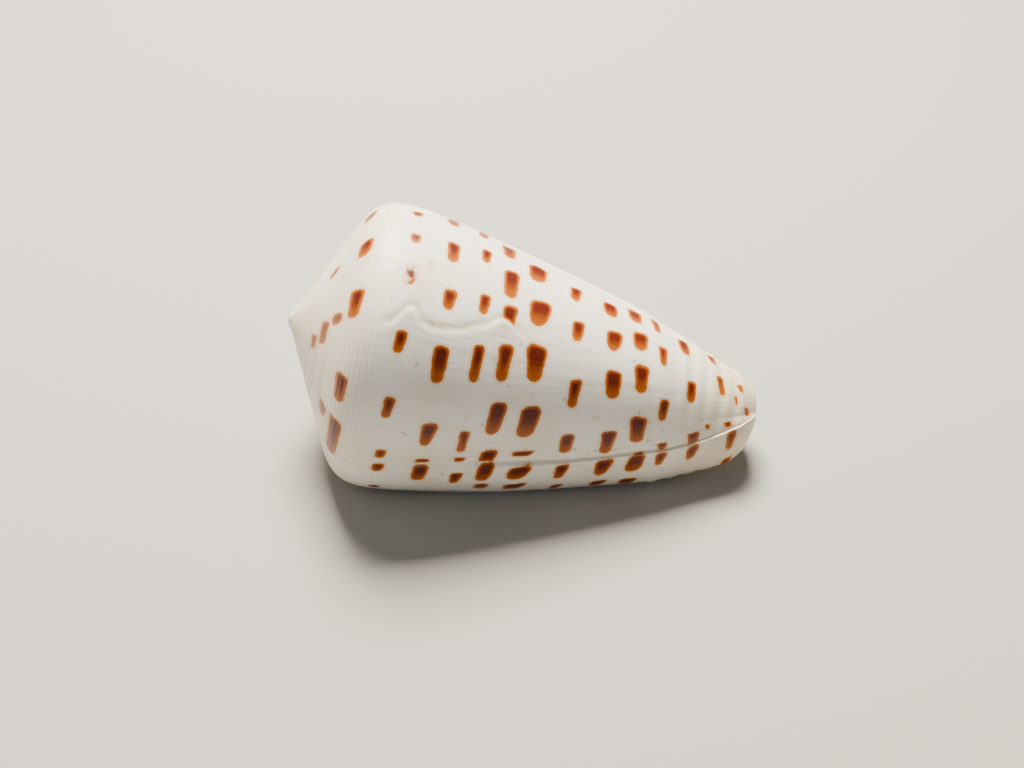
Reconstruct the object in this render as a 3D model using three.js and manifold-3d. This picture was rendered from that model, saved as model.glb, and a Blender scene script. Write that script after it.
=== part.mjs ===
// Cone shell: a stepped spire, a rounded shoulder, long tapering sides and a narrow slit
// under the shell between its last whorl and the whorl before. It lies on the edge of its outer
// lip and on the belly beside the slit, as such a shell lies when it is put down.
//
// Millimetres. +X runs from the spire towards the narrow end, -Y is the side with the growth
// scar, +Z is up. A place on the shell is given by a station, measured along the axis from the
// apex, and a turn, in degrees round the axis: 0 on top, 90 on the -Y side. Turns grow the way
// the shell grew, and every line of equal turn is one former position of the lip.
import * as THREE from 'three';
import { ParametricGeometry } from 'three/addons/geometries/ParametricGeometry.js';
import { mergeVertices } from 'three/addons/utils/BufferGeometryUtils.js';
import Module from 'manifold-3d';

// Growth
const LENGTH = 45; // apex to narrow end
const WHORL_RATIO = 1.275; // growth of every length in one full turn
const PROFILE_TURN = 50; // turn at which the profile sizes below are measured
const LIP_TURN = 138.5; // where growth stopped
const WHORLS = 8; // visible turns of the spire

// Profile: spire line, side and narrow end
const SPIRE_FLARE = 3.15; // radius gained per millimetre of station on the spire
const SPIRE_SINK = 0.9; // how far each whorl's top starts below the apex
const SHOULDER_STATION = 6.8;
const SHOULDER_ROUND = 7;
const SIDE_STATION = 10; // where the side begins
const SIDE_RADIUS = 14;
const SIDE_SLOPE = 0.225; // taper at the shoulder
const SIDE_BULGE = 0.0011; // growth of the taper towards the narrow end
const NECK_STATION = 34; // from here the side runs straight
const NECK_SLOPE = 0.41;
const END_ROUND = 2.6; // length of the rounding at the narrow end
const END_CLOSE = 0.53; // share of the radius lost in that rounding

// Growth lines sweep back towards the narrow end
const SWEEP_STATION = 20;
const SWEEP_RATE = 1.25; // degrees per millimetre
const SWEEP_BLEND = 8;
const CURL_STATION = 37;
const CURL_RATE = 0.4; // degrees per square millimetre
const LIP_SWEEP = 0.55; // share of the sweep that the lip keeps, as the scar's notch filled in

// Relief
const SCAR_TURN = 110; // old lip that healed over
const SCAR_STEP = 0.35;
const SCAR_WIDTH = 1; // degrees
const VALLEY_DEPTH = 0.15; // hollow just before the scar
const VALLEY_WIDTH = 5; // degrees
const CORD_FIRST = 35.6; // low cords that circle the narrow end
const CORD_PITCH = 1.6;
const CORD_COUNT = 5;
const CORD_HEIGHT = 0.1;

// Slit
const LIP_EDGE = 0.7; // wall thickness at the lip
const LIP_WALL = 1.3; // wall thickness deep in the slit
const SLIT_TOP = 8.6; // station of its closed end, at the shoulder
const SLIT_END = 45.5; // station of its open end, past the narrow end
const SLIT_DEPTH = 95; // degrees from the lip inwards
const SLIT_SHOAL = 0.85; // share of its depth lost at the open end
const SHOAL_FROM = 0.7; // where it starts to lose depth, as a share of its length
const SHOAL_TO = 0.95; // where it has lost it
const SLIT_MOUTH = 14; // degrees that the cutter reaches out past the lip
const SLIT_BITE = 0.03; // how far the cutter sinks into the whorl before
const SLIT_RISE = 0.5; // how far it lifts clear of that whorl outside the lip
const SLIT_TAPER = 0.12; // share of its length over which each end closes
const SLIT_BLUNT = 0.02; // how far beyond its ends the closing would come to a point

// Canal: round channel that carries the slit out through the narrow end
const CANAL_RADIUS = 1.4;
const CANAL_TURN = 8; // degrees from the lip inwards
const CANAL_START = { station: 35, radius: 5.6 };
const CANAL_END = { station: 46, radius: 2.3 };

// Rest
const REST_TILT = 11.5; // axis to the ground, narrow end down
const REST_WEAR = 0.2; // depth of the flats worn where it touches the ground

// Facets
const COLUMN_STEP = 4.4; // degrees
const SEAM_GAP = 0.7; // degrees between the lip edge and the whorl under it
const SHOULDER_ROWS = [7.3, 8, 9];
const SIDE_ROWS = 9;
const END_ROWS = 3;
const WHORL_ROWS = [1, 0.9, 0.82]; // rows in each spire whorl, as shares of its shoulder station
const SLIT_SLICES = 16;
const SLIT_ROWS = 26;
const CANAL_SIDES = 20;
const SLIVER = 0.01; // smallest facet width kept

const DEG = Math.PI / 180;
const { clamp, lerp, smoothstep } = THREE.MathUtils;

const softMin = (a, b, blend) => 0.5 * (a + b - Math.hypot(a - b, blend));
const softMax = (a, b, blend) => 0.5 * (a + b + Math.hypot(a - b, blend));

/** Size of the shell at a turn, as a share of the profile's sizes. */
const growth = (turn) => WHORL_RATIO ** ((turn - PROFILE_TURN) / 360);

/** Radius of one whorl of size 1 at a station. */
function profile(station) {
  const down = Math.min(station, NECK_STATION) - SIDE_STATION;
  const neck = NECK_SLOPE * Math.max(0, station - NECK_STATION);
  const body = SIDE_RADIUS - SIDE_SLOPE * down - SIDE_BULGE * down * down - neck;
  return softMin(SPIRE_FLARE * (station - SPIRE_SINK), body, SHOULDER_ROUND);
}

/** Radius of the whorl that grew at a turn. */
function whorlRadius(turn, station) {
  const size = growth(turn);
  return size * profile(station / size);
}

/** Height of the growth scar, the hollow before it and the cords at the narrow end. */
function relief(turn, station) {
  const late = smoothstep(turn, SCAR_TURN, SCAR_TURN + SCAR_WIDTH);
  const along = smoothstep(station, SIDE_STATION, SWEEP_STATION);
  const valley = Math.exp(-(((turn - SCAR_TURN) / VALLEY_WIDTH) ** 2));
  const scar = along * (SCAR_STEP * late - VALLEY_DEPTH * valley * (1 - late));
  const cord = (station - CORD_FIRST) / CORD_PITCH;
  const onCords = cord > 0 && cord < CORD_COUNT;
  return scar + (onCords ? CORD_HEIGHT * Math.sin(Math.PI * cord) ** 2 : 0);
}

/** Radius of the outside: the outermost of all whorls that pass a place. */
function outerRadius(turn, station) {
  let radius = whorlRadius(turn, station) + relief(turn, station);
  for (let whorl = 1; whorl <= WHORLS; whorl++) {
    radius = Math.max(radius, whorlRadius(turn - 360 * whorl, station));
  }
  const into = clamp((station - LENGTH + END_ROUND) / END_ROUND, 0, 1);
  return Math.max(radius, 0) * (1 - END_CLOSE * (1 - Math.sqrt(1 - into * into)));
}

/** How far the growth line of a turn has swept back at a station, in degrees. */
function sweep(turn, station) {
  const near = Math.max(0, 1 - Math.abs(turn - SCAR_TURN) / (LIP_TURN - SCAR_TURN));
  const line = SWEEP_RATE * softMax(0, station - SWEEP_STATION, SWEEP_BLEND);
  const curl = CURL_RATE * Math.max(0, station - CURL_STATION) ** 2;
  return lerp(LIP_SWEEP, 1, near) * (line + curl);
}

/** Sets a vector to a place in the shell's own frame, its axis along +X and its apex at 0. */
function place(target, turn, station, radius) {
  const angle = (turn - sweep(turn, Math.min(station, LENGTH))) * DEG;
  return target.set(station, -radius * Math.sin(angle), radius * Math.cos(angle));
}

/** Turns of the facet columns, one whole whorl back from the lip, with a pair at the scar. */
function columnTurns() {
  const first = LIP_TURN - 360 + SEAM_GAP;
  const count = Math.round((SCAR_TURN - first) / COLUMN_STEP);
  const turns = Array.from({ length: count + 1 }, (_, i) => lerp(first, SCAR_TURN, i / count));
  const start = SCAR_TURN + SCAR_WIDTH;
  const rest = Math.round((LIP_TURN - start) / COLUMN_STEP);
  for (let i = 0; i <= rest; i++) turns.push(lerp(start, LIP_TURN, i / rest));
  return turns;
}

/** Stations of the facet rows on a whorl of size 1, from the apex to the narrow end. */
function rowStations() {
  const rows = [];
  for (let whorl = WHORLS - 1; whorl >= 0; whorl--) {
    const size = SHOULDER_STATION / WHORL_RATIO ** whorl;
    for (const share of [...WHORL_ROWS].reverse()) rows.push(size * share);
  }
  rows.push(...SHOULDER_ROWS);
  for (let i = 1; i <= SIDE_ROWS; i++) rows.push(lerp(SIDE_STATION, CORD_FIRST, i / SIDE_ROWS));
  for (let i = 1; i <= 2 * CORD_COUNT; i++) rows.push(CORD_FIRST + (i * CORD_PITCH) / 2);
  const last = rows.at(-1);
  for (let i = 1; i <= END_ROWS; i++) rows.push(lerp(last, LENGTH, Math.sin((i / END_ROWS) * 90 * DEG)));
  return rows;
}

/** Outside of the shell, closed at the apex, at the narrow end and across the lip. */
function outside() {
  const turns = columnTurns();
  const rows = rowStations();
  const slices = turns.length;
  const stacks = rows.length + 1;
  const surface = (u, v, target) => {
    const turn = turns[Math.round(u * slices) % slices];
    const row = Math.round(v * stacks);
    if (row === 0) return target.set(0, 0, 0);
    if (row === stacks) return target.set(LENGTH, 0, 0);
    const spiral = 1 - smoothstep(rows[row - 1], SIDE_STATION, CORD_FIRST);
    const station = rows[row - 1] * lerp(1, growth(turn), spiral);
    return place(target, turn, station, outerRadius(turn, station));
  };
  return new ParametricGeometry(surface, slices, stacks);
}

/** Space of the slit: between the lip's inner wall and the whorl before, closing inwards. */
function slit() {
  const loop = 2 * SLIT_ROWS;
  const surface = (u, v, target) => {
    const step = Math.round(v * loop) % loop;
    const along = 1 - Math.abs(1 - step / SLIT_ROWS);
    const depth = SLIT_DEPTH * (1 - SLIT_SHOAL * smoothstep(along, SHOAL_FROM, SHOAL_TO));
    const turn = lerp(LIP_TURN - depth, LIP_TURN + SLIT_MOUTH, u);
    const inside = clamp((LIP_TURN - turn) / depth, 0, 1);
    const outside = clamp((turn - LIP_TURN) / SLIT_MOUTH, 0, 1);
    const station = lerp(SLIT_TOP * growth(turn), SLIT_END, along);
    const before = Math.max(whorlRadius(turn - 360, station), LIP_EDGE);
    const floor = before + lerp(-SLIT_BITE, SLIT_RISE, outside);
    const wall = lerp(LIP_EDGE, LIP_WALL, Math.sqrt(inside));
    const room = Math.max(whorlRadius(turn, station) - wall - floor, LIP_EDGE);
    const top = smoothstep(along, -SLIT_BLUNT, SLIT_TAPER);
    const end = smoothstep(1 - along, -SLIT_BLUNT, SLIT_TAPER);
    const height = room * (1 - inside ** 2) * Math.sqrt(top * end);
    const isFloor = step > SLIT_ROWS;
    const closed = u === 0 || u === 1;
    return place(target, turn, station, floor + (closed ? 0 : isFloor ? 0 : height));
  };
  return new ParametricGeometry(surface, SLIT_SLICES, loop);
}

/** Space of the canal: a straight round bar along the slit's last stretch. */
function canal() {
  const turn = LIP_TURN - CANAL_TURN;
  const start = place(new THREE.Vector3(), turn, CANAL_START.station, CANAL_START.radius);
  const end = place(new THREE.Vector3(), turn, CANAL_END.station, CANAL_END.radius);
  const along = end.clone().sub(start);
  const bar = new THREE.CylinderGeometry(CANAL_RADIUS, CANAL_RADIUS, along.length(), CANAL_SIDES);
  const up = new THREE.Vector3(0, 1, 0);
  bar.applyQuaternion(new THREE.Quaternion().setFromUnitVectors(up, along.normalize()));
  const middle = start.add(end).multiplyScalar(0.5);
  return bar.translate(middle.x, middle.y, middle.z);
}

const wasm = await Module();
wasm.setup();

/** Closed solid from a geometry whose edges meet. */
function toSolid(geometry) {
  geometry.deleteAttribute('normal');
  geometry.deleteAttribute('uv');
  const welded = mergeVertices(geometry, 1e-5);
  const index = welded.index.array;
  const triVerts = [];
  for (let i = 0; i < index.length; i += 3) {
    const [a, b, c] = index.slice(i, i + 3);
    if (a !== b && b !== c && c !== a) triVerts.push(a, b, c);
  }
  const mesh = new wasm.Mesh({
    numProp: 3,
    vertProperties: new Float32Array(welded.attributes.position.array),
    triVerts: new Uint32Array(triVerts),
  });
  return new wasm.Manifold(mesh);
}

/** Geometry from a closed solid. */
function toGeometry(solid) {
  const mesh = solid.getMesh();
  const geometry = new THREE.BufferGeometry();
  geometry.setAttribute('position', new THREE.BufferAttribute(mesh.vertProperties, 3));
  geometry.setIndex(new THREE.BufferAttribute(mesh.triVerts, 1));
  geometry.computeVertexNormals();
  return geometry;
}

/** The shell lying on the ground, its lowest places worn flat at z = 0. */
function restingShell() {
  const space = toSolid(slit()).add(toSolid(canal()));
  const grown = toGeometry(toSolid(outside()).subtract(space));
  grown.rotateY(REST_TILT * DEG);
  grown.computeBoundingBox();
  const { min, max } = grown.boundingBox;
  grown.translate(-(min.x + max.x) / 2, -(min.y + max.y) / 2, -min.z - REST_WEAR);
  const ground = new THREE.BoxGeometry(2 * LENGTH, 2 * LENGTH, LENGTH).translate(0, 0, -LENGTH / 2);
  return toGeometry(toSolid(grown).subtract(toSolid(ground)).simplify(SLIVER));
}

const ivory = new THREE.MeshStandardMaterial({ color: '#f1ece0', roughness: 0.35, metalness: 0 });

const shell = new THREE.Mesh(restingShell(), ivory);
shell.name = 'shell';

const coneShell = new THREE.Group();
coneShell.add(shell);

export default coneShell;
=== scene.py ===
"""Looks of a cone shell: ivory, glossy, with rows of red-brown spots, lying on a pale floor.

The shell is one piece. It is modelled as it grows: a flat sheet of growth, one side the turn
round the axis and the other the station along it, is rolled up into the last whorl and the
spire, then the slit and the canal are cut and the resting places are worn flat.

Shell sizes are in millimetres and degrees, and turn to metres when a mesh is placed. A station
is measured along the axis from the apex. A turn is measured round the axis: 0 on top, 90 on
the -Y side, growing the way the shell grew.
"""

import logging
import math
from dataclasses import dataclass
from enum import Enum

import bpy
import numpy as np
from mathutils import Matrix, Vector, noise

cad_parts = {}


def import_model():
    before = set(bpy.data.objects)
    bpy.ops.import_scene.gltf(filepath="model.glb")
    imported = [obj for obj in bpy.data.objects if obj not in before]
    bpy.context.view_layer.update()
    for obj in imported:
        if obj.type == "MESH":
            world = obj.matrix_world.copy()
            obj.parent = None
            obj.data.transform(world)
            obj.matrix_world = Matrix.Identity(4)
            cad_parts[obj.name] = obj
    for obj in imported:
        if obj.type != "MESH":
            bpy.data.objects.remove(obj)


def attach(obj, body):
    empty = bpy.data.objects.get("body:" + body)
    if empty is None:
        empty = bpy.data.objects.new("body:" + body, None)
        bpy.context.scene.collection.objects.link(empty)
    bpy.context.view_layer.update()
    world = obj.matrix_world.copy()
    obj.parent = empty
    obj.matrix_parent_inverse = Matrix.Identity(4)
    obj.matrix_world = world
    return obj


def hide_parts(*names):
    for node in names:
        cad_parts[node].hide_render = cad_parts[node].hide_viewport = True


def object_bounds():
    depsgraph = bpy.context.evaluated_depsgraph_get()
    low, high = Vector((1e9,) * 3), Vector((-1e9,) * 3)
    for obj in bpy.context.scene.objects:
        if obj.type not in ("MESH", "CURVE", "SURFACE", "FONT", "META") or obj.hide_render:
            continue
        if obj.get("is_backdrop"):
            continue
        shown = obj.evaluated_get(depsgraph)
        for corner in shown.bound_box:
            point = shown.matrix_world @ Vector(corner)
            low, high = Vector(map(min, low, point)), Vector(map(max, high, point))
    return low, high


MM = 0.001
LOG = logging.getLogger("cone_shell")

CLEAR = 2.0  # gap in millimetres at which no trace of a spot is left
SWEEP_ROUNDS = 24  # guesses that find the turn of a place on a swept growth line
MIX_UNDER, MIX_OVER, MIX_RESULT = 6, 7, 2  # colour sockets of a node that mixes

Array = np.ndarray
Colour = tuple[float, float, float, float]
Point = tuple[float, float, float]
Box = tuple[Point, Point]
Span = tuple[float, float]
Settings = dict[str | int, object]
Links = dict[str | int, bpy.types.NodeSocket]


def linear(hex_colour: str) -> Colour:
    """Turn an sRGB hex colour into linear values.

    Args:
        hex_colour: six hex digits after a hash.

    Returns:
        Linear red, green, blue and an alpha of 1.
    """
    shares = [int(hex_colour[i:i + 2], 16) / 255 for i in (1, 3, 5)]
    bent = [c / 12.92 if c <= 0.04045 else ((c + 0.055) / 1.055) ** 2.4 for c in shares]
    return (bent[0], bent[1], bent[2], 1.0)


def smooth(value: Array, low: float, high: float) -> Array:
    """Ease from 0 at low to 1 at high."""
    share = np.clip((value - low) / (high - low), 0, 1)
    return share * share * (3 - 2 * share)


def soft_min(a: Array, b: Array, blend: float) -> Array:
    """Lesser of two values, rounded where they meet."""
    return 0.5 * (a + b - np.hypot(a - b, blend))


def soft_max(a: Array, b: Array, blend: float) -> Array:
    """Greater of two values, rounded where they meet."""
    return 0.5 * (a + b + np.hypot(a - b, blend))


def hump(value: Array, width: float) -> Array:
    """Bell curve of height 1 and the given half-width."""
    return np.exp(-(value / width) ** 2)


def wander(x: Array, y: Array, seed: float) -> Array:
    """Smooth random values between about -1 and 1.

    Args:
        x: first coordinate, one unit per wave.
        y: second coordinate, one unit per wave.
        seed: where in the noise to read.

    Returns:
        One value for each place.
    """
    flat = np.broadcast_arrays(x, y)
    values = [noise.noise((a, b, seed)) for a, b in zip(flat[0].ravel(), flat[1].ravel())]
    return np.array(values).reshape(flat[0].shape)


@dataclass(frozen=True)
class Growth:
    """How the shell grew: the same law and sizes as the solid has."""

    length: float = 45.0
    whorl_ratio: float = 1.275
    profile_turn: float = 50.0
    lip_turn: float = 138.5
    whorls: int = 8
    spire_flare: float = 3.15
    spire_sink: float = 0.9
    shoulder_station: float = 6.8
    shoulder_round: float = 7.0
    side_station: float = 10.0
    side_radius: float = 14.0
    side_slope: float = 0.225
    side_bulge: float = 0.0011
    neck_station: float = 34.0
    neck_slope: float = 0.41
    end_round: float = 2.6
    end_close: float = 0.53
    sweep_station: float = 20.0
    sweep_rate: float = 1.25
    sweep_blend: float = 8.0
    curl_station: float = 37.0
    curl_rate: float = 0.4
    lip_sweep: float = 0.55
    scar_turn: float = 110.0
    tip_round: float = 0.9
    tip_trim: float = 0.03
    tip_blend: float = 0.3

    def size(self, turn: Array) -> Array:
        """Size of the shell at a turn, as a share of the profile's sizes."""
        return self.whorl_ratio ** ((turn - self.profile_turn) / 360)

    def profile(self, station: Array) -> Array:
        """Radius of one whorl of size 1.

        Args:
            station: stations of the places.

        Returns:
            Radius of each place.
        """
        down = np.minimum(station, self.neck_station) - self.side_station
        neck = self.neck_slope * np.maximum(0, station - self.neck_station)
        body = self.side_radius - self.side_slope * down - self.side_bulge * down**2 - neck
        return soft_min(self.spire_flare * (station - self.spire_sink), body, self.shoulder_round)

    def whorl_radius(self, turn: Array, station: Array) -> Array:
        """Radius of the whorl that grew at a turn."""
        size = self.size(turn)
        return size * self.profile(station / size)

    def end_share(self, station: Array) -> Array:
        """Share of the radius that is left in the rounding of the narrow end."""
        into = np.clip((station - self.length + self.end_round) / self.end_round, 0, 1)
        return 1 - self.end_close * (1 - np.sqrt(1 - into**2))

    def outer_radius(self, turn: Array, station: Array, relief: Array) -> Array:
        """Radius of the outside: the outermost of all whorls that pass a place.

        Args:
            turn: turns of the places.
            station: stations of the places.
            relief: height of the relief on the last whorl.

        Returns:
            Radius of each place.
        """
        radius = self.whorl_radius(turn, station) + relief
        for whorl in range(1, self.whorls + 1):
            radius = np.maximum(radius, self.whorl_radius(turn - 360 * whorl, station))
        depth = np.clip(station - self.tip_trim, 0, self.tip_round)
        dome = np.sqrt(depth * (2 * self.tip_round - depth))
        return soft_max(radius, dome, self.tip_blend) * self.end_share(station)

    def sweep(self, turn: Array, station: Array) -> Array:
        """How far growth lines have swept back.

        Args:
            turn: turns at which the lines start.
            station: stations of the places.

        Returns:
            Sweep of each place, in degrees.
        """
        near = np.maximum(0, 1 - np.abs(turn - self.scar_turn) / (self.lip_turn - self.scar_turn))
        reach = np.minimum(station, self.length)
        line = self.sweep_rate * soft_max(0, reach - self.sweep_station, self.sweep_blend)
        curl = self.curl_rate * np.maximum(0, reach - self.curl_station) ** 2
        return (self.lip_sweep + (1 - self.lip_sweep) * near) * (line + curl)

    def place(self, turn: Array, station: Array, radius: Array) -> Array:
        """Points in the shell's own frame, its axis along +X and its apex at 0."""
        angle = np.radians(turn - self.sweep(turn, station))
        return np.stack([station, -radius * np.sin(angle), radius * np.cos(angle)], axis=-1)

    def turn_of(self, points: Array) -> Array:
        """Turns of points, within the last whorl.

        Args:
            points: places in the shell's own frame.

        Returns:
            Turn of each place.
        """
        angle = np.degrees(np.arctan2(-points[:, 1], points[:, 2]))
        turn = angle.copy()
        for _ in range(SWEEP_ROUNDS):
            turn = angle + self.sweep(turn, points[:, 0])
            turn = self.lip_turn - (self.lip_turn - turn) % 360
        return turn


@dataclass(frozen=True)
class Rest:
    """How the shell lies: its axis leans, narrow end down, and its low places are worn flat."""

    tilt: float = 11.5
    apex: Point = (-22.198, 0.781, 12.844)

    def matrix(self) -> Matrix:
        """Matrix from the shell's own frame to the row frame, both in millimetres."""
        return Matrix.Translation(self.apex) @ Matrix.Rotation(math.radians(self.tilt), 4, "Y")

    def to_row(self, points: Array) -> Array:
        """Points in the row frame, in metres."""
        turned = np.array(self.matrix())
        return (points @ turned[:3, :3].T + turned[:3, 3]) * MM

    def to_shell(self, points: Array) -> Array:
        """Points from the row frame in metres back in the shell's own frame."""
        turned = np.array(self.matrix())
        return (points / MM - turned[:3, 3]) @ turned[:3, :3]


@dataclass(frozen=True)
class Relief:
    """What stands proud of or sinks into the last whorl.

    Heights and stations are in millimetres, widths round the shell in degrees, and waves are
    counted per millimetre or degree. A span of stations is where a form sets in or fades.
    """

    growth: Growth
    scar_step: float = 0.17
    scar_rise: float = 0.18
    scar_rise_end: float = 20.0
    scar_width: float = 0.7
    scar_soft: float = 4.5
    scar_sharp: Span = (14.0, 25.0)
    scar_reach: Span = (12.0, 24.0)
    scar_bend: float = 5.0
    bend_end: Span = (18.0, 28.0)
    scar_bead: float = 0.015
    chip_depth: float = 0.9
    chip_waves: float = 1.7
    chip_least: float = 0.15
    chip_seed: float = 3.1
    valley_depth: float = 0.26
    valley_width: float = 5.0
    valley_reach: Span = (8.0, 14.0)
    valley_fade: Span = (22.0, 32.0)
    valley_loss: float = 0.75
    cord_first: float = 35.6
    cord_pitch: float = 1.6
    cord_count: int = 5
    cord_height: float = 0.1
    break_step: float = 0.09
    break_bulge: float = 0.17
    break_crests: Span = (10.7, 18.4)
    crest_width: float = 0.9
    break_blend: Span = (-0.6, 1.2)
    break_fade: float = 6.0
    break_ends: Span = (1.5, 1.0)
    groove_depth: float = 0.07
    groove_turn: float = 1.2
    groove_width: float = 1.4
    break_line: tuple[Span, ...] = (
        (7.8, 49), (9.4, 45), (10.1, 40), (10.6, 38.5), (11.1, 40), (11.6, 44), (12.5, 45.5),
        (14.4, 45), (16.4, 41), (17.4, 39.5), (18, 36.5), (18.5, 35), (19.2, 36), (20.5, 42),
    )
    patch_share: Span = (0.6, 0.4)
    patch_waves: Span = (0.9, 0.1)
    patch_seed: float = 5.3
    # Olive painted shade in the wavy break's groove, together with the faint real olive stain
    # there.
    break_stain_and_shade_share: float = 0.9
    break_stain_and_shade_turn: float = 1.0
    break_stain_and_shade_width: float = 1.7
    smear_share: float = 0.4
    smear_place: Span = (7.0, 56.0)
    smear_size: Span = (0.9, 2.5)
    # Olive painted shadow just above the old lip's step, growing towards the narrow end.
    scar_painted_shadow: float = 0.5
    scar_painted_shadow_turn: float = 0.5
    scar_painted_shadow_reach: Span = (12.0, 26.0)
    line_height: float = 0.012
    line_waves: Span = (0.22, 0.06)
    line_seed: float = 7.7

    def scar_path(self, station: Array) -> Array:
        """Where the old lip runs, with the small chips along its edge.

        Args:
            station: stations of the places.

        Returns:
            Turn of the old lip at each station.
        """
        bend = self.scar_bend * (1 - smooth(station, *self.bend_end))
        rough = wander(station * self.chip_waves, 0 * station, self.chip_seed)
        chips = self.chip_depth * np.maximum(0, rough - self.chip_least)
        return self.growth.scar_turn - bend + chips

    def break_path(self, station: Array) -> Array:
        """Turn of the healed wavy break at a station."""
        stations, turns = np.array(self.break_line).T
        return np.interp(station, stations, turns)

    def break_share(self, station: Array) -> Array:
        """How much of the wavy break there is.

        Args:
            station: stations of the places.

        Returns:
            A share from 0 to 1 for each place.
        """
        first, last = self.break_line[0][0], self.break_line[-1][0]
        begin = smooth(station, first, first + self.break_ends[0])
        return begin * (1 - smooth(station, last - self.break_ends[1], last + self.break_ends[1]))

    def scar(self, turn: Array, station: Array) -> Array:
        """The healed old lip: a hollow, then a step up to newer shell with a fine bead.

        Args:
            turn: turns of the places.
            station: stations of the places.

        Returns:
            Height of each place.
        """
        past = turn - self.scar_path(station)
        wide = self.scar_width + self.scar_soft * (1 - smooth(station, *self.scar_sharp))
        late = smooth(past / wide, 0, 1)
        bead = self.scar_bead * hump(past - wide, self.scar_width)
        rise = self.scar_rise * smooth(past, self.scar_width, self.scar_rise_end)
        step = smooth(station, *self.scar_reach) * (self.scar_step * late + bead + rise)
        fade = 1 - self.valley_loss * smooth(station, *self.valley_fade)
        hollow = self.valley_depth * smooth(station, *self.valley_reach) * fade
        return step - hollow * hump(past, self.valley_width) * (1 - late)

    def healed_break(self, turn: Array, station: Array) -> Array:
        """The wavy break: a shallow groove, then newer shell with two bulges.

        Args:
            turn: turns of the places.
            station: stations of the places.

        Returns:
            Height of each place.
        """
        past = turn - self.break_path(station)
        bulges = sum(hump(station - crest, self.crest_width) for crest in self.break_crests)
        step = self.break_step + self.break_bulge * bulges
        fade = np.exp(-np.maximum(past, 0) / self.break_fade)
        groove = self.groove_depth * hump(past + self.groove_turn, self.groove_width)
        return self.break_share(station) * (step * smooth(past, *self.break_blend) * fade - groove)

    def stain_and_shade(self, turn: Array, station: Array) -> Array:
        """How stained the shell is, with painted shade: olive painted shade with a faint real
        stain in the groove along the break, an olive painted shadow just above the scar's step,
        and one real stain in a smear.

        Args:
            turn: turns of the places.
            station: stations of the places.

        Returns:
            A share from 0 to 1 for each place.
        """
        waves = station * self.patch_waves[0], turn * self.patch_waves[1]
        patchy = self.patch_share[0] + self.patch_share[1] * wander(*waves, self.patch_seed)
        # Painted shade in the groove just before the wavy break, with a faint real olive stain.
        past = turn - self.break_path(station) + self.break_stain_and_shade_turn
        line = self.break_stain_and_shade_share * self.break_share(station) * hump(past, self.break_stain_and_shade_width)
        near = hump(station - self.smear_place[0], self.smear_size[0])
        smear = self.smear_share * near * hump(turn - self.smear_place[1], self.smear_size[1])
        # Painted shadow, olive, just above the old lip's step.
        under = turn - self.scar_path(station) + self.scar_painted_shadow_turn
        scar = self.scar_painted_shadow * hump(under, self.scar_width)
        scar = scar * smooth(station, *self.scar_painted_shadow_reach)
        return patchy * np.maximum(np.maximum(line, smear), scar)

    def cords(self, station: Array) -> Array:
        """Low cords that circle the narrow end.

        Args:
            station: stations of the places.

        Returns:
            Height of each place.
        """
        cord = (station - self.cord_first) / self.cord_pitch
        on_cords = (cord > 0) & (cord < self.cord_count)
        return np.where(on_cords, self.cord_height * np.sin(np.pi * cord) ** 2, 0)

    def growth_lines(self, turn: Array, station: Array) -> Array:
        """Faint uneven lines of growth along the whole side."""
        waves = turn * self.line_waves[0], station * self.line_waves[1]
        return self.line_height * wander(*waves, self.line_seed)

    def height(self, turn: Array, station: Array) -> Array:
        """Height of all relief at each place."""
        healed = self.scar(turn, station) + self.healed_break(turn, station)
        return healed + self.cords(station) + self.growth_lines(turn, station)


class Length(Enum):
    """How long a spot is round the shell, in millimetres."""

    SPECK = 0.9
    SHORT = 1.3
    WORN = 1.9
    MEDIUM = 2.0
    LONG = 2.6
    BAR = 3.3
    STREAK = 5.0


@dataclass(frozen=True)
class Row:
    """One row of spots that circles the shell.

    The station and the width are those of a whorl of size 1. The spots are told by the turn
    where each one starts. The shoulder's row runs on up the spire over earlier whorls.
    """

    station: float
    width: float
    spots: dict[int, Length]
    earlier_whorls: int = 0


@dataclass(frozen=True)
class Mark:
    """One spot: where it starts, how long and wide it is, and whether it has worn pale."""

    start: float
    station: float
    length: float
    width: float
    worn: bool


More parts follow.
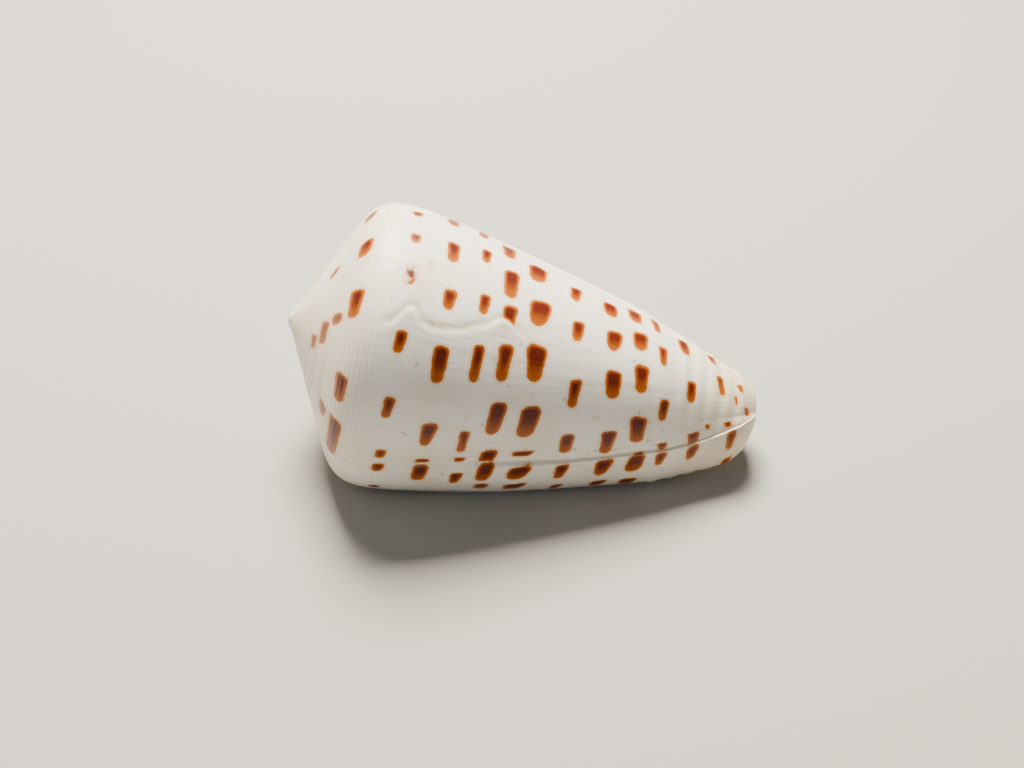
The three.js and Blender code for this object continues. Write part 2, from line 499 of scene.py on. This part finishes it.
@dataclass(frozen=True)
class Spots:
    """The red-brown spots, in rows: those in view one by one, the hidden back at random."""

    growth: Growth
    relief: Relief
    seed: int = 11
    hidden_end: float = -40.0
    hidden_first: Span = (4.0, 24.0)
    hidden_gap: Span = (9.0, 22.0)
    fewest_in_row: int = 3
    break_stop: float = 34.0
    edge_slack: float = 1.0
    taper: float = 0.3
    corner: float = 0.36
    uneven: float = 0.14
    scar_first: float = 8.0
    rows: tuple[Row, ...] = (
        Row(6.0, 1.2, {
            91: Length.STREAK, 70: Length.LONG, 34: Length.LONG, 8: Length.MEDIUM,
            -20: Length.MEDIUM, -266: Length.MEDIUM, -316: Length.SHORT, -671: Length.BAR,
            -712: Length.SHORT, -958: Length.LONG, -1019: Length.LONG, -1471: Length.BAR,
        }, earlier_whorls=4),
        Row(10.2, 1.1, {
            -15: Length.SHORT, 5: Length.SHORT, 22: Length.WORN, 48: Length.MEDIUM,
            73: Length.MEDIUM, 97: Length.SHORT, 106: Length.SHORT, 126: Length.SHORT,
        }),
        Row(13.8, 1.4, {
            -25: Length.LONG, 3: Length.LONG, 28: Length.MEDIUM, 51: Length.BAR,
            82: Length.LONG, 102: Length.SHORT, 106: Length.LONG,
        }),
        Row(16.9, 1.1, {
            -26: Length.LONG, -1: Length.MEDIUM, 26: Length.MEDIUM, 48: Length.BAR,
            85: Length.LONG, 101: Length.SPECK, 111: Length.MEDIUM,
        }),
        Row(19.3, 1.5, {
            -15: Length.LONG, 8: Length.BAR, 28: Length.LONG, 46: Length.BAR, 71: Length.BAR,
            96: Length.LONG, 106: Length.LONG, 121: Length.SHORT,
        }),
        Row(22.2, 2.1, {
            -5: Length.LONG, 21: Length.LONG, 44: Length.BAR, 72: Length.BAR,
            98: Length.SPECK, 109: Length.MEDIUM, 123: Length.SHORT,
        }),
        Row(25.8, 1.2, {
            2: Length.MEDIUM, 27: Length.MEDIUM, 58: Length.LONG, 88: Length.LONG,
            111: Length.MEDIUM, 128: Length.SHORT,
        }),
        Row(29.4, 1.6, {
            4: Length.MEDIUM, 27: Length.MEDIUM, 51: Length.LONG, 87: Length.BAR,
            111: Length.MEDIUM, 128: Length.SHORT,
        }),
        Row(32.1, 1.7, {
            0: Length.MEDIUM, 22: Length.MEDIUM, 45: Length.LONG, 77: Length.BAR,
            110: Length.MEDIUM, 129: Length.SHORT,
        }),
        Row(34.3, 1.0, {
            0: Length.MEDIUM, 28: Length.MEDIUM, 65: Length.MEDIUM, 102: Length.SHORT,
            111: Length.SHORT,
        }),
        Row(37.1, 1.1, {
            9: Length.MEDIUM, 49: Length.MEDIUM, 95: Length.MEDIUM, 111: Length.SHORT,
        }),
        Row(38.5, 0.5, {87: Length.SPECK}),
        Row(40.4, 0.85, {
            8: Length.SHORT, 37: Length.MEDIUM, 90: Length.SHORT, 111: Length.SHORT,
            131: Length.SPECK,
        }),
        Row(41.7, 0.4, {59: Length.SPECK}),
        Row(42.6, 0.6, {42: Length.SPECK, 72: Length.SHORT}),
    )

    def marks(self) -> list[Mark]:
        """List all spots.

        Returns:
            The spots in view and the random ones behind.
        """
        made = []
        dice = np.random.default_rng(self.seed)
        for row in self.rows:
            for start, length in row.spots.items():
                made.append(self.mark(row, start, length))
            whorls = row.earlier_whorls + 1 if len(row.spots) >= self.fewest_in_row else 0
            for whorl in range(whorls):
                lip = self.growth.lip_turn - 360 * (whorl + 1)
                start = lip + dice.uniform(*self.hidden_first)
                while start < self.hidden_end - 360 * whorl:
                    length = dice.choice([Length.SHORT, Length.MEDIUM, Length.LONG, Length.BAR])
                    made.append(self.mark(row, start, length))
                    arc = math.degrees(length.value / self.growth.profile(row.station))
                    start += arc + dice.uniform(*self.hidden_gap)
        return made

    def mark(self, row: Row, start: float, length: Length) -> Mark:
        """Make one spot of a row, smaller on earlier whorls.

        Args:
            row: the row.
            start: turn where the spot starts.
            length: how long it is.

        Returns:
            The spot.
        """
        size = self.growth.size(min(start, self.growth.profile_turn))
        share = size if row.earlier_whorls else 1.0
        worn = length is Length.WORN
        return Mark(start, row.station, length.value * share, row.width * share, worn)

    def distance(
        self, mark: Mark, turn: Array, station: Array, radius: Array
    ) -> tuple[Array, Array]:
        """Distance to the edge of one spot, negative inside it.

        A spot is a box with rounded corners, narrower at its far end, the side towards the
        narrow end of the shell slanting in.

        Args:
            mark: the spot.
            turn: turns of the places.
            station: stations of the places.
            radius: radius of the shell at the places.

        Returns:
            Distances in millimetres and the share of the way along the spot.
        """
        degrees = turn - mark.start
        if mark.start < self.growth.lip_turn - 360:
            degrees = (degrees + 180) % 360 - 180
        along = np.radians(degrees) * radius
        share = along / mark.length
        across = station - mark.station * self.growth.size(mark.start + degrees)
        inset = self.taper * mark.width * np.clip(share, 0, 1)
        half_wide = (mark.width - inset) / 2
        corner = self.corner * min(mark.length, mark.width)
        over_x = np.abs(along - mark.length / 2) - mark.length / 2 + corner
        over_y = np.abs(across + inset / 2) - half_wide + corner
        outside = np.hypot(np.maximum(over_x, 0), np.maximum(over_y, 0))
        gap = outside + np.minimum(np.maximum(over_x, over_y), 0) - corner
        uneven = self.uneven * min(mark.length, mark.width)
        gap = gap + uneven * wander(along / mark.length, across / mark.width, mark.start)
        if mark.start > self.growth.lip_turn - 360:
            gap = np.maximum(gap, self.stop(mark, turn, station, radius))
        return gap, np.clip(share, 0, 1)

    def stop(self, mark: Mark, turn: Array, station: Array, radius: Array) -> Array:
        """How far places lie beyond the old edge of the shell that a spot ends or starts at.

        Args:
            mark: the spot.
            turn: turns of the places.
            station: stations of the places.
            radius: radius of the shell at the places.

        Returns:
            Distances in millimetres, negative on the spot's own side of the edge.
        """
        scar = self.relief.scar_path(station)
        side = np.sign(scar - mark.start - self.edge_slack)
        beyond = np.radians(side * (turn - scar)) * radius
        beyond = np.where(station > self.scar_first, beyond, -np.inf)
        late = np.radians(turn - self.relief.break_path(station)) * radius
        cut = (self.relief.break_share(station) > 0.5) & (mark.start < self.break_stop)
        return np.maximum(beyond, np.where(cut, late, -np.inf))

    def paint(self, turn: Array, station: Array, radius: Array) -> tuple[Array, Array, Array]:
        """Nearest spot of each place.

        Args:
            turn: turns of the places.
            station: stations of the places.
            radius: radius of the shell at the places.

        Returns:
            Distance to the spot's edge, share along the spot, and 1 where the spot is worn.
        """
        nearest = np.full(turn.shape, CLEAR)
        along = np.zeros(turn.shape)
        worn = np.zeros(turn.shape)
        for mark in self.marks():
            row_station = mark.station * self.growth.size(mark.start)
            index = np.flatnonzero(np.abs(station - row_station) < mark.width + CLEAR)
            gap, share = self.distance(mark, turn[index], station[index], radius[index])
            closer = gap < nearest[index]
            chosen = index[closer]
            nearest[chosen] = gap[closer]
            along[chosen] = share[closer]
            worn[chosen] = mark.worn
        return nearest, along, worn


def add_node(
    tree: bpy.types.NodeTree, kind: str, settings: Settings, links: Links, output: str | int = 0
) -> bpy.types.NodeSocket:
    """Add a shader node.

    Args:
        tree: node tree to add to.
        kind: type of the node.
        settings: the node's own settings, or values of its inputs by name or number.
        links: sockets to link to its inputs, by name or number.
        output: which output to give back, by name or number.

    Returns:
        The node's output.
    """
    node = tree.nodes.new(kind)
    for name, value in settings.items():
        if isinstance(name, str) and hasattr(node, name):
            setattr(node, name, value)
        else:
            node.inputs[name].default_value = value
    for name, socket in links.items():
        tree.links.new(socket, node.inputs[name])
    return node.outputs[output]


class Ease(Enum):
    """How a coat of colour sets in."""

    SOFT = "SMOOTHSTEP"
    STRAIGHT = "LINEAR"


@dataclass(frozen=True)
class Coat:
    """A colour over another: none of it at the first value of a mask, the most at the second."""

    colour: str
    values: Span = (0.0, 1.0)
    most: float = 1.0
    ease: Ease = Ease.SOFT

    def over(
        self,
        tree: bpy.types.NodeTree,
        under: str | bpy.types.NodeSocket,
        mask: bpy.types.NodeSocket,
    ) -> bpy.types.NodeSocket:
        """Lay the coat on.

        Args:
            tree: node tree to add to.
            under: the colour below, a hex colour or a socket.
            mask: where the coat lies.

        Returns:
            The colour with the coat on it.
        """
        limits = {"interpolation_type": self.ease.value, 1: self.values[0], 2: self.values[1]}
        share = add_node(tree, "ShaderNodeMapRange", {**limits, 4: self.most}, {0: mask})
        settings: Settings = {"data_type": "RGBA", MIX_OVER: linear(self.colour)}
        links: Links = {0: share}
        if isinstance(under, str):
            settings[MIX_UNDER] = linear(under)
        else:
            links[MIX_UNDER] = under
        return add_node(tree, "ShaderNodeMix", settings, links, MIX_RESULT)


@dataclass(frozen=True)
class ShellFinish:
    """Natural seashell, polished by growth and a little dulled by wear: bright, hard ivory.

    The spots are red-brown, darkest at their core, orange-brown at the rim and the far end,
    with a thin yellow halo. Spire and narrow end are creamier than the side. An edge is told
    by its distance from a spot's outline, and a noise by the size of its patches, both in
    millimetres, and by its detail.
    """

    ivory: str = "#f4efe4"
    cream: str = "#e4d5b3"
    olive: str = "#b3a678"
    rim: str = "#ad5a0e"
    clouds: Coat = Coat(cream, (0.45, 0.8), 0.6)
    streaks: Coat = Coat(cream, (0.52, 0.72), 0.6)
    specks: Coat = Coat(olive, (0.68, 0.74), 0.55)
    # Olive over the shell: painted shade in the break's groove, painted shadow above the scar's
    # step, and real olive stains along the break and in one smear.
    stains_and_shade: Coat = Coat(olive, ease=Ease.STRAIGHT)
    ends: Coat = Coat(cream, ease=Ease.STRAIGHT)
    halo: Coat = Coat("#e0b060", (0.4, 0.1), 0.55)
    core: Coat = Coat("#5c1b09", ease=Ease.STRAIGHT)
    faded: Coat = Coat("#dcc7b4", ease=Ease.STRAIGHT)
    rim_edge: Span = (0.14, 0.02)
    core_edge: Span = (0.04, -0.3)
    ragged_edge: float = 0.16
    fresh_part: Span = (0.35, 1.0)
    far_end_share: float = 0.2
    flake_edge: Span = (0.42, 0.58)
    cloud_noise: Span = (6.0, 3.0)
    speck_noise: Span = (0.9, 1.0)
    flake_noise: Span = (1.2, 3.0)
    grain_noise: Span = (0.5, 2.0)
    growth_detail: float = 3.0
    streak_scale: float = 0.5
    line_scale: float = 1.0
    bump_strength: float = 0.25
    bump_height: float = 0.1
    roughness: float = 0.35
    ior: float = 1.55
    sheen: float = 0.22

    def material(self) -> bpy.types.Material:
        """Make the material.

        Returns:
            The material, which reads the attributes that Shell.dress stores.
        """
        made = bpy.data.materials.new("polished ivory shell with red-brown spots")
        made.use_nodes = True
        tree = made.node_tree
        shader = tree.nodes["Principled BSDF"]
        shader.inputs["Roughness"].default_value = self.roughness
        shader.inputs["IOR"].default_value = self.ior
        # Beach wear dulls the gloss, so the dark spots stay deep under the light.
        shader.inputs["Specular IOR Level"].default_value = self.sheen
        tree.links.new(self.colour(tree), shader.inputs["Base Color"])
        tree.links.new(self.bump(tree), shader.inputs["Normal"])
        return made

    def body(self, tree: bpy.types.NodeTree) -> bpy.types.NodeSocket:
        """Lay the colours of the shell between its spots.

        Args:
            tree: node tree to add to.

        Returns:
            Ivory with creamy clouds, streaks and ends, faint olive specks, and olive stains and
            painted shade along the break and the scar.
        """
        place = add_node(tree, "ShaderNodeTexCoord", {}, {}, "Object")
        cloud, speck = (
            add_node(
                tree,
                "ShaderNodeTexNoise",
                {"Scale": 1 / (size * MM), "Detail": detail},
                {"Vector": place},
            )
            for size, detail in (self.cloud_noise, self.speck_noise)
        )
        stain_and_shade, creamy = (
            add_node(tree, "ShaderNodeAttribute", {"attribute_name": name}, {}, "Fac")
            for name in ("stain_and_painted_shade", "creamy")
        )
        cloudy = self.clouds.over(tree, self.ivory, cloud)
        streaked = self.streaks.over(tree, cloudy, self.growth_noise(tree, self.streak_scale))
        specked = self.specks.over(tree, streaked, speck)
        # The olive coat here is partly painted shade and shadow, partly real stain.
        return self.ends.over(tree, self.stains_and_shade.over(tree, specked, stain_and_shade), creamy)

    def colour(self, tree: bpy.types.NodeTree) -> bpy.types.NodeSocket:
        """Lay the spots over the shell's own colours.

        Args:
            tree: node tree to add to.

        Returns:
            The colour of the shell.
        """
        place = add_node(tree, "ShaderNodeTexCoord", {}, {}, "Object")
        grain, flake = (
            add_node(
                tree,
                "ShaderNodeTexNoise",
                {"Scale": 1 / (size * MM), "Detail": detail},
                {"Vector": place},
            )
            for size, detail in (self.grain_noise, self.flake_noise)
        )
        gap, along, worn = (
            add_node(tree, "ShaderNodeAttribute", {"attribute_name": name}, {}, "Fac")
            for name in ("spot_gap", "spot_share", "spot_worn")
        )
        ragged = {"operation": "MULTIPLY_ADD", 1: self.ragged_edge}
        edge = add_node(tree, "ShaderNodeMath", ragged, {0: grain, 2: gap})
        deep, fresh, lost, painted = (
            add_node(
                tree,
                "ShaderNodeMapRange",
                {"interpolation_type": "SMOOTHSTEP", 1: start, 2: end, 3: first, 4: last},
                {0: value},
            )
            for value, (start, end), first, last in (
                (edge, self.core_edge, 0, 1),
                (along, self.fresh_part, 1, self.far_end_share),
                (flake, self.flake_edge, 0, 1),
                (edge, self.rim_edge, 0, 1),
            )
        )
        dark, flaked = (
            add_node(tree, "ShaderNodeMath", {"operation": "MULTIPLY"}, {0: first, 1: second})
            for first, second in ((deep, fresh), (lost, worn))
        )
        pigment = self.faded.over(tree, self.core.over(tree, self.rim, dark), flaked)
        ringed = self.halo.over(tree, self.body(tree), edge)
        links = {0: painted, MIX_UNDER: ringed, MIX_OVER: pigment}
        return add_node(tree, "ShaderNodeMix", {"data_type": "RGBA"}, links, MIX_RESULT)

    def growth_noise(self, tree: bpy.types.NodeTree, scale: float) -> bpy.types.NodeSocket:
        """Draw noise out along the lines of growth.

        Args:
            tree: node tree to add to.
            scale: how fine the lines are.

        Returns:
            The noise.
        """
        arc, station = (
            add_node(tree, "ShaderNodeAttribute", {"attribute_name": name}, {}, "Fac")
            for name in ("growth_arc", "growth_station")
        )
        lines = add_node(tree, "ShaderNodeCombineXYZ", {}, {0: arc, 1: station})
        settings = {"Scale": scale, "Detail": self.growth_detail}
        return add_node(tree, "ShaderNodeTexNoise", settings, {"Vector": lines})

    def bump(self, tree: bpy.types.NodeTree) -> bpy.types.NodeSocket:
        """Raise the finest relief: growth lines on the side and spiral lines on the spire.

        Args:
            tree: node tree to add to.

        Returns:
            The normal.
        """
        spiral = {"attribute_name": "spire_line"}
        lines = {
            0: self.growth_noise(tree, self.line_scale),
            1: add_node(tree, "ShaderNodeAttribute", spiral, {}, "Fac"),
        }
        height = add_node(tree, "ShaderNodeMath", {"operation": "ADD"}, lines)
        settings = {"Strength": self.bump_strength, "Distance": self.bump_height * MM}
        return add_node(tree, "ShaderNodeBump", settings, {"Height": height})


@dataclass(frozen=True)
class Shell:
    """The shell itself: its mesh, and where its markings lie.

    Rows and columns are those of the sheet that is rolled up. Columns, turns, angles and the
    slit's depth and mouth are in degrees, tapers and shares are of the slit's length, and the
    rest is in millimetres.
    """

    growth: Growth
    relief: Relief
    rest: Rest
    columns: int = 290
    scar_columns: int = 18
    scar_span: Span = (-1.5, 3.0)
    lip_columns: tuple[float, ...] = (0.2, 0.45, 0.75)
    tip_rows: int = 9
    tip_angles: Span = (6.0, 54.0)
    tip_gap: float = 0.05
    spire_rows: int = 84
    shoulder_rows: int = 26
    side_rows: int = 138
    end_rows: int = 15
    seam_gap: float = 0.7
    scar_pull: float = 12.0
    lip_edge: float = 0.7
    lip_wall: float = 1.3
    lip_bevel: float = 0.2
    bevel_turn: float = 1.0
    slit_slices: int = 60
    slit_rows: int = 90
    slit_top: float = 8.6
    slit_end: float = 45.5
    slit_taper: float = 0.12
    slit_blunt: float = 0.01
    slit_depth: float = 95.0
    slit_shoal: float = 0.85
    shoal_shares: Span = (0.7, 0.95)
    slit_mouth: float = 14.0
    slit_bite: float = 0.03
    slit_rise: float = 0.5
    canal_sides: int = 48
    canal_radius: float = 1.4
    canal_turn: float = 8.0
    canal_start: Span = (35.0, 5.6)
    canal_end: Span = (46.0, 2.3)
    merge_gap: float = 1e-4
    sliver: float = 1e-5
    crease: float = 40.0
    spire_lines: int = 4
    spire_line_height: float = 0.5
    spire_fade: float = 1.0
    spire_cream: Span = (0.5, 0.4)
    end_cream: float = 0.8
    end_cream_stations: Span = (32.0, 44.0)
    growth_waves: Span = (2.0, 0.15)

    def column_turns(self) -> Array:
        """Space the sheet's columns, denser at the scar and the lip.

        Returns:
            Turn of each column.
        """
        lip = self.growth.lip_turn
        even = np.linspace(lip - 360 + self.seam_gap, lip, self.columns)
        scar = self.growth.scar_turn + np.linspace(*self.scar_span, self.scar_columns)
        return np.unique(np.concatenate([even, scar, lip - np.array(self.lip_columns)]))

    def row_stations(self) -> Array:
        """Space the sheet's rows, from apex to narrow end.

        Returns:
            Station of each row.
        """
        growth, relief = self.growth, self.relief
        angles = np.radians(np.linspace(*self.tip_angles, self.tip_rows))
        tip = growth.tip_trim + growth.tip_round * (1 - np.cos(angles))
        spire = np.linspace(tip[-1] + self.tip_gap, growth.shoulder_station, self.spire_rows)
        shoulder = np.linspace(growth.shoulder_station, growth.side_station, self.shoulder_rows)
        last_cord = relief.cord_first + relief.cord_count * relief.cord_pitch
        side = np.linspace(growth.side_station, last_cord, self.side_rows)
        round_end = np.sin(np.linspace(0, math.pi / 2, self.end_rows))
        end = last_cord + (growth.length - last_cord) * round_end
        return np.unique(np.round(np.concatenate([tip, spire, shoulder, side, end]), 6))

    def sheet(self, name: str, across: int, along: int) -> bpy.types.Object:
        """Add a flat sheet of faces.

        Args:
            name: name of the new object.
            across: faces in the first direction.
            along: faces in the second direction.

        Returns:
            The object, its vertices in rows along the first direction.
        """
        bpy.ops.object.select_all(action="DESELECT")
        bpy.ops.mesh.primitive_grid_add(x_subdivisions=across, y_subdivisions=along, size=1.0)
        made = bpy.context.active_object
        made.name = made.data.name = name
        return made

    def roll(self, sheet: bpy.types.Object, points: Array) -> None:
        """Roll a flat sheet up and close its seams.

        Args:
            sheet: the sheet.
            points: new place of each vertex in the shell's own frame.
        """
        sheet.data.vertices.foreach_set("co", self.rest.to_row(points).ravel())
        sheet.data.update()
        bpy.ops.object.mode_set(mode="EDIT")
        bpy.ops.mesh.select_all(action="SELECT")
        bpy.ops.mesh.remove_doubles(threshold=self.merge_gap * MM)
        bpy.ops.mesh.dissolve_degenerate(threshold=self.sliver * MM)
        bpy.ops.mesh.select_all(action="SELECT")
        bpy.ops.mesh.normals_make_consistent(inside=False)
        bpy.ops.object.mode_set(mode="OBJECT")

    def outside(self) -> bpy.types.Object:
        """Grow the outside: last whorl, spire and narrow end, closed across the lip.

        Returns:
            The shell without its slit and canal.
        """
        turns = self.column_turns()
        rows = self.row_stations()
        across, along = len(turns), len(rows) + 1
        sheet = self.sheet("spotted_shell", across, along)
        turn = np.tile(np.append(turns, turns[0]), (along + 1, 1))
        ends = self.growth.tip_trim, self.growth.length
        stations = np.concatenate([ends[:1], rows, ends[1:]])
        station = np.tile(stations[:, None], (1, across + 1))
        shift = self.relief.scar_path(station) - self.growth.scar_turn
        turn = turn + shift * hump(turn - self.growth.scar_turn, self.scar_pull)
        radius = self.growth.outer_radius(turn, station, self.relief.height(turn, station))
        earlier = self.growth.outer_radius(turn - 360, station, 0)
        radius = np.maximum(radius - self.lip_round(turn), np.minimum(radius, earlier))
        radius[0] = radius[-1] = 0
        self.roll(sheet, self.growth.place(turn, station, radius).reshape(-1, 3))
        return sheet

    def lip_round(self, turn: Array) -> Array:
        """How far the lip's outer edge is rounded off."""
        near = np.clip(1 - (self.growth.lip_turn - turn) / self.bevel_turn, 0, 1)
        return self.lip_bevel * (1 - np.sqrt(1 - near**2))

    def slit(self) -> bpy.types.Object:
        """Shape the slit's space, between the lip's inner wall and the whorl before.

        Returns:
            The space to cut out.
        """
        slices, rows = self.slit_slices, self.slit_rows
        loop = 2 * rows
        sheet = self.sheet("slit", slices, loop)
        share = np.tile(np.linspace(0, 1, slices + 1), (loop + 1, 1))
        step = np.tile((np.arange(loop + 1) % loop)[:, None], (1, slices + 1))
        lip = self.growth.lip_turn
        along = 1 - np.abs(1 - step / rows)
        depth = self.slit_depth * (1 - self.slit_shoal * smooth(along, *self.shoal_shares))
        turn = lip - depth + share * (depth + self.slit_mouth)
        inside = np.clip((lip - turn) / depth, 0, 1)
        past = np.clip((turn - lip) / self.slit_mouth, 0, 1)
        top = self.slit_top * self.growth.size(turn)
        station = top + along * (self.slit_end - top)
        lift = past * (self.slit_rise + self.slit_bite) - self.slit_bite
        before = np.maximum(self.growth.whorl_radius(turn - 360, station), self.lip_edge)
        floor = before + lift
        wall = self.lip_edge + (self.lip_wall - self.lip_edge) * np.sqrt(inside)
        room = np.maximum(self.growth.whorl_radius(turn, station) - wall - floor, self.lip_edge)
        taper = [smooth(way, -self.slit_blunt, self.slit_taper) for way in (along, 1 - along)]
        ends = np.sqrt(taper[0] * taper[1])
        height = np.where(step > rows, 0, room * (1 - inside**2) * ends)
        height[:, 0] = height[:, -1] = 0
        self.roll(sheet, self.growth.place(turn, station, floor + height).reshape(-1, 3))
        return sheet

    def canal(self) -> bpy.types.Object:
        """Shape the canal's space, a straight round bar along the slit's last stretch.

        Returns:
            The space to cut out.
        """
        turn = np.array(self.growth.lip_turn - self.canal_turn)
        ends = [
            Vector(self.rest.to_row(self.growth.place(turn, np.array(station), np.array(radius))))
            for station, radius in (self.canal_start, self.canal_end)
        ]
        run = ends[1] - ends[0]
        bpy.ops.object.select_all(action="DESELECT")
        bpy.ops.mesh.primitive_cylinder_add(
            vertices=self.canal_sides,
            radius=self.canal_radius * MM,
            depth=run.length,
            location=(ends[0] + ends[1]) / 2,
            rotation=run.to_track_quat("Z", "Y").to_euler(),
        )
        return bpy.context.active_object

    def cut(self, shell: bpy.types.Object, cutter: bpy.types.Object) -> None:
        """Cut one shape out of the shell and delete the cutter.

        Args:
            shell: the shell.
            cutter: the shape to cut out.
        """
        bpy.ops.object.select_all(action="DESELECT")
        shell.select_set(True)
        bpy.context.view_layer.objects.active = shell
        boolean = shell.modifiers.new("cut", "BOOLEAN")
        boolean.operation = "DIFFERENCE"
        boolean.solver = "EXACT"
        boolean.object = cutter
        bpy.ops.object.modifier_apply(modifier=boolean.name)
        bpy.data.objects.remove(cutter, do_unlink=True)

    def wear(self, shell: bpy.types.Object, box: Box) -> None:
        """Wear the shell's lowest places flat and keep the rest inside the solid's room.

        Args:
            shell: the shell.
            box: least and greatest corner of the room, in metres.
        """
        inside = np.clip(self.points(shell), np.float32(box[0]), np.float32(box[1]))
        shell.data.vertices.foreach_set("co", inside.ravel())
        shell.data.update()

    def points(self, shell: bpy.types.Object) -> Array:
        """Read where the shell's vertices are.

        Args:
            shell: the shell.

        Returns:
            Their places in the row frame, in metres.
        """
        flat = np.empty(3 * len(shell.data.vertices), dtype=np.float32)
        shell.data.vertices.foreach_get("co", flat)
        return flat.reshape(-1, 3)

    def build(self, box: Box) -> bpy.types.Object:
        """Build and place the shell.

        Args:
            box: least and greatest corner of the room the solid takes, in metres.

        Returns:
            The shell, without its finish.
        """
        shell = self.outside()
        self.cut(shell, self.slit())
        self.cut(shell, self.canal())
        self.wear(shell, box)
        bpy.ops.object.shade_smooth_by_angle(angle=math.radians(self.crease))
        return shell

    def markings(self, shell: bpy.types.Object, spots: Spots) -> dict[str, Array]:
        """Find where the markings lie.

        Args:
            shell: the shell.
            spots: its spots.

        Returns:
            Values of each marking for all vertices, by the marking's name.
        """
        growth = self.growth
        points = self.rest.to_shell(self.points(shell))
        station = points[:, 0]
        turn = growth.turn_of(points)
        radius = np.hypot(points[:, 1], points[:, 2])
        outer = growth.outer_radius(turn, station, self.relief.height(turn, station))
        hidden = radius < outer - self.lip_edge / 2
        gap, share, worn = spots.paint(turn, station, radius)
        spire = 1 - smooth(station, growth.shoulder_station - self.spire_fade, growth.side_station)
        whorl = np.log(np.maximum(station, self.tip_gap) / growth.size(turn))
        whorl = whorl / math.log(growth.whorl_ratio)
        wave = np.sin(2 * math.pi * self.spire_lines * whorl)
        spire_cream = spire * (self.spire_cream[0] - self.spire_cream[1] * wave)
        end_cream = self.end_cream * smooth(station, *self.end_cream_stations)
        arc = np.radians(turn) * growth.side_radius
        return {
            "spot_gap": np.where(hidden, CLEAR, gap),
            "spot_share": share,
            "spot_worn": worn,
            "creamy": np.maximum(spire_cream, end_cream),
            "growth_arc": np.where(hidden, 0, arc * self.growth_waves[0]),
            "growth_station": np.where(hidden, 0, station * self.growth_waves[1]),
            "spire_line": self.spire_line_height * spire * wave,
            # Painted shade along the break and the scar, and real stains, as one olive share.
            "stain_and_painted_shade": np.where(hidden, 0, self.relief.stain_and_shade(turn, station)),
        }

    def dress(self, shell: bpy.types.Object, spots: Spots, finish: ShellFinish) -> None:
        """Store where the markings lie and add the material.

        Args:
            shell: the shell.
            spots: its spots.
            finish: its finish.
        """
        for name, values in self.markings(shell, spots).items():
            made = shell.data.attributes.new(name, "FLOAT", "POINT")
            made.data.foreach_set("value", values.astype(np.float32))
        shell.data.materials.clear()
        shell.data.materials.append(finish.material())


@dataclass(frozen=True)
class PaperFinish:
    """Plain matt paper, a pale grey without gloss."""

    grey: str = "#a8a59f"
    roughness: float = 0.9

    def material(self) -> bpy.types.Material:
        """Make the material.

        Returns:
            The material.
        """
        made = bpy.data.materials.new("pale matt paper")
        made.use_nodes = True
        shader = made.node_tree.nodes["Principled BSDF"]
        shader.inputs["Base Color"].default_value = linear(self.grey)
        shader.inputs["Roughness"].default_value = self.roughness
        return made


@dataclass(frozen=True)
class Lamp:
    """A soft square light that faces the shell, in millimetres and watts."""

    name: str
    place: Point
    side: float
    power: float
    colour: str

    def hang(self) -> None:
        """Add the light."""
        data = bpy.data.lights.new(self.name, "AREA")
        data.size = self.side * MM
        data.energy = self.power
        data.color = linear(self.colour)[:3]
        lamp = bpy.data.objects.new(self.name, data)
        bpy.context.scene.collection.objects.link(lamp)
        lamp.location = Vector(self.place) * MM
        lamp.rotation_euler = (-Vector(self.place)).to_track_quat("-Z", "Y").to_euler()


@dataclass(frozen=True)
class Studio:
    """Floor, soft lights and a camera at the photograph's viewing angle, in millimetres."""

    eye: Point = (-0.44, -93.43, 86.5)
    aim: Point = (-1.18, -3.84, 9.94)
    roll: float = 2.24
    lens: float = 45.35
    sensor: float = 36.0
    nearest: float = 5.0
    floor_side: float = 3000.0
    lamps: tuple[Lamp, ...] = (
        Lamp("key", (-30, 150, 280), 140, 5.6, "#fff6e8"),
        Lamp("fill", (-260, -160, 240), 400, 0.25, "#e8f0ff"),
    )
    sky: str = "#d8dade"
    sky_strength: float = 0.28

    def camera(self) -> None:
        """Add the camera and make it the scene's."""
        data = bpy.data.cameras.new("camera")
        data.lens = self.lens
        data.sensor_width = self.sensor
        data.clip_start = self.nearest * MM
        camera = bpy.data.objects.new("camera", data)
        bpy.context.scene.collection.objects.link(camera)
        look = (Vector(self.aim) - Vector(self.eye)).to_track_quat("-Z", "Y").to_matrix().to_4x4()
        turned = look @ Matrix.Rotation(math.radians(self.roll), 4, "Z")
        camera.matrix_world = Matrix.Translation(Vector(self.eye) * MM) @ turned
        bpy.context.scene.camera = camera

    def floor(self, finish: PaperFinish) -> None:
        """Add a wide pale floor.

        Args:
            finish: its finish.
        """
        bpy.ops.object.select_all(action="DESELECT")
        bpy.ops.mesh.primitive_plane_add(size=self.floor_side * MM, location=(0, 0, 0))
        floor = bpy.context.active_object
        floor.name = "floor"
        floor.data.materials.append(finish.material())
        floor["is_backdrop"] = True

    def build(self) -> None:
        """Set the whole studio up."""
        self.camera()
        self.floor(PaperFinish())
        for lamp in self.lamps:
            lamp.hang()
        world = bpy.data.worlds.new("studio")
        bpy.context.scene.world = world
        world.use_nodes = True
        sky = world.node_tree.nodes["Background"]
        sky.inputs["Color"].default_value = linear(self.sky)
        sky.inputs["Strength"].default_value = self.sky_strength


def main() -> None:
    """Build the shell on its frame and set up the studio."""
    logging.basicConfig(level=logging.INFO, format="%(name)s: %(message)s")
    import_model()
    cad_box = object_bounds()
    growth = Growth()
    relief = Relief(growth)
    maker = Shell(growth, relief, Rest())
    shell = maker.build(cad_box)
    maker.dress(shell, Spots(growth, relief), ShellFinish())
    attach(shell, "root")
    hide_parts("shell")
    LOG.info("shell: %d faces", len(shell.data.polygons))
    Studio().build()


if __name__ == "__main__":
    main()
